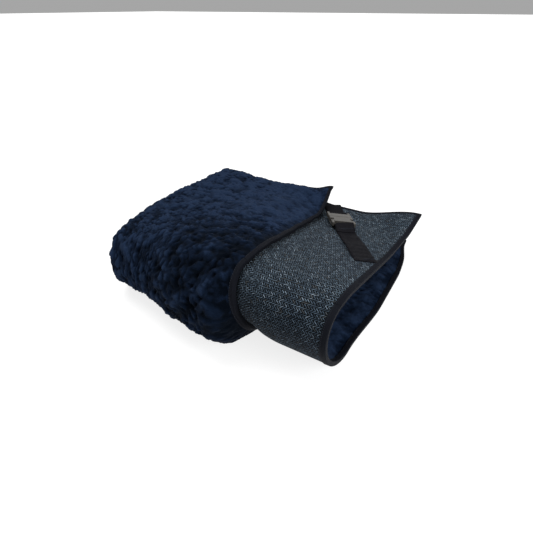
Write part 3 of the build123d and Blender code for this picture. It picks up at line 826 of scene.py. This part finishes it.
# ---- heating films and leads
def patch(name, xn, turn, b, near, far, material):
    """Closed rectangular sheet inside the panel."""
    xn, b = np.meshgrid(xn, b, indexing="ij")
    angle = np.full(xn.shape, turn)
    u, v = cloth_coordinates(xn, angle, b)
    top = place(xn, angle, b, far)
    bottom = place(xn, angle, b, near)
    return slab(name, top, bottom, np.stack([u, v, 0 * u], -1), material)


film_near = CLOTH + WADDING + 0.1 * MM
film_far = film_near + FILM - 0.2 * MM
film_left = -0.208
for name, side, turn, film_right in (
    ("lower", "lower", pi, MOUTH_X - 0.019),
    ("upper", "upper", pi, MOUTH_X - 0.019),
    ("cuff_lower", "lower", 0.0, CUFF_EDGE_X - 0.029),
    ("cuff_upper", "upper", 0.0, CUFF_EDGE_X - 0.095),
):
    b_range = (0.12, 0.95) if side == "lower" else (2.05, 2.88)
    xs = np.linspace(film_left, film_right, 50)
    bs = np.linspace(*b_range, 60)
    film = patch(f"film_{name}", xs, turn, bs, film_near, film_far, FILM_MAT)
    hang(film, side, f"{name}_heating_film")

lead_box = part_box("fold_lead")
xs = np.linspace(lead_box[0].x, lead_box[1].x, 4)
lead = patch("lead_fold", xs, pi, np.linspace(1.0, 2.0, 40), film_near, film_far, LEAD_MAT)
hang(lead, "fold", "fold_lead")


# ---- binding tapes
TAPE_PROUD = 0.8 * MM  # tape's faces beyond the panel's
STITCH = 3.4 * MM  # length with the gap behind it
STITCH_SHARE = 0.62
STITCH_WIDTH = 0.7 * MM
TACK_WIDTH = 0.75 * MM


def tape_section():
    """Rounded section of a bound edge: distance from the edge, and depth behind the face."""
    low = -TAPE_PROUD
    high = BOUND + TAPE_PROUD
    r = 1.6 * MM
    section = [(BINDING, 0.15 * MM), (BINDING - 0.3 * MM, low * 0.7), (BINDING - 1.4 * MM, low)]
    section += [(BINDING * 0.5, low * 1.12), (r + 1.5 * MM, low)]
    quarter = np.linspace(0, pi / 2, 5)
    section += [(r - r * np.sin(t), low + r - r * np.cos(t)) for t in quarter]
    section.append((-0.25 * MM, BOUND / 2))
    section += [(r - r * np.cos(t), high - r + r * np.sin(t)) for t in quarter]
    section += [(r + 1.5 * MM, high), (BINDING * 0.5, high + 0.1 * MM), (BINDING - 1.4 * MM, high)]
    section += [(BINDING - 0.3 * MM, high - 0.3 * MM), (BINDING, BOUND - 0.2 * MM)]
    return np.array(section)


SECTION = tape_section()
SECTION_WRAP = np.concatenate([[0], np.cumsum(np.linalg.norm(np.diff(SECTION, axis=0), axis=1))])


def tube(name, rings, along, across, materials, extra):
    """Closed tube through rings of points, with flat ends. extra are more meshes to join to it,
    in the second material."""
    stations, around = rings.shape[:2]
    index = np.arange(stations * around).reshape(stations, around)
    a = index[:-1]
    b = index[1:]
    quads = np.stack([a, b, np.roll(b, -1, 1), np.roll(a, -1, 1)], -1).reshape(-1, 4)
    points = rings.reshape(-1, 3)
    ends = np.stack([index[0], index[-1][::-1]])
    if signed_volume(points, quads) < 0:
        quads = quads[:, ::-1]
        ends = ends[:, ::-1]
    faces = [quads, ends]
    kinds = np.zeros(len(quads) + 2, int)
    cloth = np.stack(np.broadcast_arrays(along[:, None], across[None, :], 0.0), -1).reshape(-1, 3)
    for more_points, more_quads in extra:
        faces.append(more_quads + len(points))
        points = np.concatenate([points, more_points])
        kinds = np.concatenate([kinds, np.ones(len(more_quads), int)])
        cloth = np.concatenate([cloth, more_points * 0.7])
    piece = new_object(name, points, faces, materials, kinds)
    write_attribute(piece, "cloth", cloth)
    return piece


def stitch_mesh(starts, ends, normals, width):
    """Short rounded stitches, each a small closed six-sided bead."""
    along = unit(ends - starts)
    side = unit(np.cross(along, normals))
    points = []
    quads = []
    for share, size in ((0.0, 0.25), (0.22, 0.85), (0.5, 1.0), (0.78, 0.85), (1.0, 0.25)):
        middle = starts + (ends - starts) * share
        for k in range(6):
            angle = k * pi / 3
            offset = side * np.cos(angle) + normals * np.sin(angle)
            points.append(middle + offset * (width / 2 * size))
    points = np.stack(points, 1).reshape(-1, 3)
    base = np.arange(len(starts))[:, None] * 30
    for ring in range(4):
        for k in range(6):
            a = ring * 6 + k
            b = ring * 6 + (k + 1) % 6
            quads.append(base + np.array([[a, b, b + 6, a + 6]]))
    for cap in ((0, 1, 2, 3), (0, 3, 4, 5), (24, 27, 26, 25), (24, 29, 28, 27)):
        quads.append(base + np.array([cap]))
    return points, np.concatenate(quads)[:, ::-1]


def row_of_stitches(route, normals):
    starts = route[:-1]
    ends = route[:-1] + (route[1:] - route[:-1]) * STITCH_SHARE
    return stitch_mesh(starts, ends, normals[:-1], STITCH_WIDTH)


def edge_route(kind, t, e):
    """Panel coordinates at a share t along a bound edge and a distance e in from it. kind holds
    the edge, and the b or, on a back edge, the distance and place x, between which it runs."""
    name, first, last = kind
    if name in ("mouth", "cuff"):
        mitre_low = e / HALF_DEPTH if first == 0 else 0 * e
        mitre_high = e / UPPER_LONG if last == 3 else 0 * e
        b = (first + mitre_low) + (last - mitre_high - first - mitre_low) * t
        if name == "cuff":
            return cuff_edge(b) - e, 0 * b, b
        return MOUTH_X - e + 0 * t, pi + 0 * b, b
    b = (e / HALF_DEPTH if name == "lower" else 3 - e / UPPER_LONG) + 0 * t
    edge = cuff_edge(b) - e
    on_cuff = edge - TURN_X
    on_inner = last - TURN_X if last < MOUTH_X - 1e-6 else MOUTH_X - e - TURN_X
    s = first + (on_cuff + TURN_LONG + on_inner - first) * t
    turn = np.clip((s - on_cuff) / TURN_LONG, 0, 1) * pi
    past_turn = np.where(turn < pi, TURN_X, TURN_X + s - on_cuff - TURN_LONG)
    return np.where(s < on_cuff, edge - s, past_turn), turn, b


def tape(name, kind, length, part, node):
    """Bound edge: the tape's section carried along the edge, with a sewn row on both faces."""
    t = np.linspace(0, 1, max(8, int(length / (3 * MM))))[:, None]
    e = SECTION[None, :, 0]
    xn, turn, b = edge_route(kind, t, np.maximum(e, 0) + 0 * t)
    rings = place(xn, turn, b, SECTION[None, :, 1] + 0 * t)
    t_row = np.linspace(0.002, 0.998, int(length / STITCH))[:, None]
    xr, tr, br = edge_route(kind, t_row, BINDING - 1.9 * MM + 0 * t_row)
    extra = []
    for depth, sign in ((-TAPE_PROUD * 1.05, -1), (BOUND + TAPE_PROUD, 1)):
        row = place(xr, tr, br, depth)[:, 0]
        lifted = place(xr, tr, br, depth + sign * MM)[:, 0]
        extra.append(row_of_stitches(row, unit(lifted - row)))
    piece = tube(name, rings, t[:, 0] * length, SECTION_WRAP, [TAPE_MAT, THREAD_MAT], extra)
    hang(piece, part, node)


cuff_nodes = ("cuff_lower_edge_binding", "fold_cuff_edge_binding", "cuff_upper_edge_binding")
for edge in ("mouth", "cuff"):
    for k, part in enumerate(("lower", "fold", "upper")):
        node = f"{part}_mouth_binding" if edge == "mouth" else cuff_nodes[k]
        length = (HALF_DEPTH, FOLD_LONG, UPPER_LONG)[k]
        tape(f"tape_{edge}_{part}", (edge, k, k + 1), length, part, node)

# the lower back edge is bound in two stretches, left and right of the inlet socket
past_socket = cuff_edge(np.array(0.0)) - TURN_X + TURN_LONG + POCKET_RIGHT - TURN_X
for name, part, first, last, length in (
    ("tape_back_upper", "upper", 0.0, MOUTH_X, CUFF_LONG + INNER_LONG),
    ("tape_back_lower", "lower", 0.0, POCKET_LEFT, CUFF_LONG + POCKET_LEFT - TURN_X),
    ("tape_back_lower_end", "lower", past_socket, MOUTH_X, MOUTH_X - POCKET_RIGHT),
):
    tape(name, (part, first, last), length, part, f"{part}_back_binding")


# ---- webbing and stitches
def face_height_table():
    """Height of the woven face of the upper half, over a grid of x and y."""
    xs = np.linspace(0.02, MOUTH_X, 90)
    b = np.linspace(2.0, 3.0, 500)
    grid = surface(*np.meshgrid(xs, b, indexing="ij"))
    ys = np.linspace(FOLD_Y + 0.01, BACK_Y, 320)
    z = np.array([np.interp(ys, row[:, 1], row[:, 2]) for row in grid])
    return xs, ys, z


TABLE_X, TABLE_Y, TABLE_Z = face_height_table()


def face_height(x, y):
    """Height of the woven face at places x and y, read from the table."""
    fx = np.clip((x - TABLE_X[0]) / (TABLE_X[1] - TABLE_X[0]), 0, len(TABLE_X) - 1.001)
    fy = np.clip((y - TABLE_Y[0]) / (TABLE_Y[1] - TABLE_Y[0]), 0, len(TABLE_Y) - 1.001)
    ix, iy = fx.astype(int), fy.astype(int)
    rx, ry = fx - ix, fy - iy
    near, far = (TABLE_Z[k, iy] * (1 - ry) + TABLE_Z[k, iy + 1] * ry for k in (ix, ix + 1))
    return near * (1 - rx) + far * rx


STRAP_BACK = np.array([0.052, BACK_Y, 0.0])  # strap's line, drawn out to the back edge
STRAP_FRONT = np.array([0.232, -0.045, 0.0])
STRAP_LINE = unit(STRAP_FRONT - STRAP_BACK)
STRAP_ACROSS = np.array([-STRAP_LINE[1], STRAP_LINE[0], 0.0])
STRAP_LONG = np.linalg.norm(STRAP_FRONT - STRAP_BACK)
STRAP_WIDTH = 38 * MM
SHARES = np.linspace(-0.5, 0.5, 9)  # points across the webbing
STRAP_THICK = 1.6 * MM
BUCKLE_AT = 109 * MM  # buckle's centre, along the strap from the back edge

slide = next(j for j in frame["joints"] if j["name"] == "buckle_slide")
PULL = unit(np.array(slide["axis"], float))
BUCKLE_UP = unit(np.cross(PULL, STRAP_ACROSS))
BUCKLE_UP = BUCKLE_UP if BUCKLE_UP[2] > 0 else -BUCKLE_UP
prong_joints = [j for j in frame["joints"] if j["name"].startswith("prong")]
PRONG_ROOT_BACK = 6.5 * MM  # prongs' roots behind the buckle's middle, and over its plane
PRONG_ROOT_UP = 5.0 * MM
prong_middle = np.mean([j["pos_m"] for j in prong_joints], axis=0)
BUCKLE_ORIGIN = prong_middle + PULL * PRONG_ROOT_BACK - BUCKLE_UP * PRONG_ROOT_UP


def row_on_face(s, lift):
    """Across the webbing at a distance s from the back edge, lying on the woven face."""
    row = STRAP_BACK + STRAP_LINE * s + SHARES[:, None] * STRAP_ACROSS * STRAP_WIDTH
    row[:, 2] = face_height(row[:, 0], row[:, 1]) + lift
    return row


def rows_at_buckle(*places):
    """Across the webbing at places along the buckle's pull and heights off its plane, in mm."""
    middles = [BUCKLE_ORIGIN + PULL * x * MM + BUCKLE_UP * z * MM for x, z in places]
    return [middle + SHARES[:, None] * STRAP_ACROSS * STRAP_WIDTH for middle in middles]


def smooth_rows(rows, step=1.5 * MM):
    """Rows of points joined by a smooth curve and spaced evenly."""
    rows = np.array(rows)
    padded = np.concatenate([2 * rows[:1] - rows[1:2], rows, 2 * rows[-1:] - rows[-2:-1]])
    fine = []
    for k in range(len(rows) - 1):
        p0, p1, p2, p3 = padded[k:k + 4]
        for t in np.linspace(0, 1, 12, endpoint=False):
            fine.append(
                0.5 * (2 * p1 + (p2 - p0) * t + (2 * p0 - 5 * p1 + 4 * p2 - p3) * t**2
                       + (3 * p1 - p0 - 3 * p2 + p3) * t**3)
            )
    fine.append(rows[-1])
    fine = np.array(fine)
    middle = fine[:, 4]
    run = np.concatenate([[0], np.cumsum(np.linalg.norm(np.diff(middle, axis=0), axis=1))])
    at = np.linspace(0, run[-1], max(8, int(run[-1] / step)))
    flat = fine.reshape(len(fine), -1)
    spaced = np.stack([np.interp(at, run, flat[:, k]) for k in range(flat.shape[1])], 1)
    return spaced.reshape(len(at), 9, 3), at


def webbing(name, rows, nodes):
    """Band of webbing through rows of points, thinner at its woven edges."""
    middle, at = smooth_rows(rows)
    normals = grid_normals(middle)
    thick = STRAP_THICK / 2 * np.where(np.abs(SHARES) > 0.45, 0.55, 1.0)
    top = middle + normals * thick[None, :, None]
    bottom = middle - normals * thick[None, :, None]
    cloth = np.stack(np.broadcast_arrays(at[:, None], SHARES[None, :] * STRAP_WIDTH, 0.0), -1)
    piece = slab(name, top, bottom, cloth, WEBBING_MAT)
    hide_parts(nodes)
    return piece, middle, normals


PLY = 0.9 * MM  # centre of webbing that lies on the cloth
wrinkle = np.random.default_rng(5).normal(0, 0.35 * MM, 80)
short_rows = [row_on_face(s * MM, PLY) for s in (6, 16, 26, 36, 46, 56, 64, 69)]
short_rows += rows_at_buckle((-36.0, 0.9), (-33.4, 1.1), (-31.6, 2.4), (-31.4, 4.6), (-32.2, 6.9))
short_rows += rows_at_buckle((-34.4, 7.7), (-37.0, 7.4), (-39.3, 5.6), (-42.0, 3.9), (-46.0, 3.0))
short_rows += [row_on_face(s * MM, 3 * PLY) for s in (58.5, 55.0)]
short_strap, short_middle, short_normals = webbing("strap_short", short_rows, "short_strap")
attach(short_strap, "upper_half")

long_rows = [row_on_face(BUCKLE_AT + s * MM, 3.2 * PLY) for s in (66, 60)]
long_rows += rows_at_buckle((50.0, 3.2), (44.0, 4.6), (39.4, 6.4), (37.0, 7.6), (34.2, 7.8))
long_rows += rows_at_buckle((31.6, 6.8), (30.5, 4.8), (30.8, 2.4), (33.0, 1.1), (37.0, 0.9))
long_rows += rows_at_buckle((44.0, 0.9), (52.0, 0.95))
STRAP_END = STRAP_LONG - 11 * MM
stations = np.arange(BUCKLE_AT / MM + 62, STRAP_END / MM - 4, 9.0)
for k, s in enumerate(stations):
    hump = 2.4 * bell(s - 255, 26.0) + bell(s - 205, 14.0)
    long_rows.append(row_on_face(s * MM, PLY + hump * MM + abs(wrinkle[k])))
long_rows.append(row_on_face(STRAP_END, PLY))
long_strap, long_middle, long_normals = webbing("strap_long", long_rows, "long_strap")
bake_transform(long_strap)


def tack_rows(name, middle, body, *nodes):
    """Bar tack: three close rows of slanting stitches across the webbing."""
    centre, normal, forward = middle
    points = []
    quads = []
    offsets = np.linspace(-15 * MM, 15 * MM, 19)
    slant = forward * 0.6 * MM
    for row in (-1, 0, 1):
        base = centre + STRAP_ACROSS * offsets[:, None] + forward * row * 1.5 * MM
        ends = base + slant + STRAP_ACROSS * 0.9 * MM
        normals = np.repeat(normal[None], len(base), 0)
        more, faces = stitch_mesh(base - slant, ends, normals, TACK_WIDTH)
        quads.append(faces + len(more) * len(points))
        points.append(more)
    points = np.concatenate(points)
    piece = new_object(name, points, [np.concatenate(quads)], [THREAD_MAT])
    write_attribute(piece, "cloth", points * 0.7)
    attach(piece, body)
    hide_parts(*nodes)


def tack_at(middle, normals, row):
    """Place, upward normal and direction of the webbing at one of its rows."""
    normal = normals[row, 4] if normals[row, 4][2] > 0 else -normals[row, 4]
    forward = unit(middle[min(row + 1, len(middle) - 1), 4] - middle[row - 1, 4])
    return middle[row, 4] + normal * (STRAP_THICK / 2 + 0.15 * MM), normal, forward


short_tack = tack_at(short_middle, short_normals, -3)
tack_rows("tacks_short", short_tack, "upper_half", "short_strap_bartack")
long_tack = tack_at(long_middle, long_normals, -6)
tack_rows("tacks_long", long_tack, "upper_half", "long_strap_bartacks")
tack_rows("tacks_socket", tack_at(long_middle, long_normals, 9), "socket")

# ---- the model's own solids
for nodes, material in (
    (("buckle_latch_frame", "buckle_prong_left", "buckle_prong_right", "buckle_socket"), BUCKLE_MAT),
    (("inlet_socket", "thermal_cutout", "temperature_sensor"), FITTING_MAT),
    (("inlet_lead",), LEAD_MAT),
):
    for node in nodes:
        solid = frame["nodes"][node]
        solid.data.materials.clear()
        solid.data.materials.append(material)

# ---- floor, light and camera
def floor_material():
    n = Nodes("floor")
    grain = n.noise(n.on_object(), 3.0, 2.0)
    colour = n.ramp(grain, (0.3, (150, 150, 150)), (0.7, (156, 156, 156)))
    glow = dict(Emission_Color=(1, 1, 1, 1), Emission_Strength=0.80)
    return n.finish(colour, None, 0.9, Specular_IOR_Level=0.0, **glow)


bpy.ops.mesh.primitive_plane_add(size=60)
floor = bpy.context.object
floor.name = "floor"
floor.data.materials.append(floor_material())

world = bpy.data.worlds.new("studio")
world.use_nodes = True
background = world.node_tree.nodes["Background"]
background.inputs[0].default_value = (1, 1, 1, 1)
background.inputs[1].default_value = 0.38
bpy.context.scene.world = world


def add_lamp(name, kind, power, towards, location=(0, 0, 0)):
    light = bpy.data.lights.new(name, kind)
    light.energy = power
    lamp = bpy.data.objects.new(name, light)
    lamp.location = location
    lamp.rotation_euler = Vector(towards).to_track_quat("-Z", "Y").to_euler()
    bpy.context.collection.objects.link(lamp)
    return light


key = add_lamp("key", "SUN", 2.7, (0.85, -0.45, -2.2))
key.angle = radians(50)
side = add_lamp("side", "AREA", 20, (-1.4, 0.35, -0.85), (1.5, -0.35, 0.9))
side.shape = "DISK"
side.size = 1.0

CAMERA_AT = (0.3574, -0.5529, 0.440)
CAMERA_HEADING = (-0.5225, 0.8526)
CAMERA_PITCH = radians(34.2)
camera_data = bpy.data.cameras.new("camera")
camera_data.sensor_width = 36.0
camera_data.lens = 25.94
camera = bpy.data.objects.new("camera", camera_data)
level = np.array([*CAMERA_HEADING, 0.0]) * np.cos(CAMERA_PITCH)
ahead = level - np.array([0.0, 0.0, np.sin(CAMERA_PITCH)])
camera.location = CAMERA_AT
camera.rotation_euler = Vector(ahead).to_track_quat("-Z", "Y").to_euler()
bpy.context.collection.objects.link(camera)
bpy.context.scene.camera = camera
bpy.context.scene.view_settings.view_transform = "Standard"
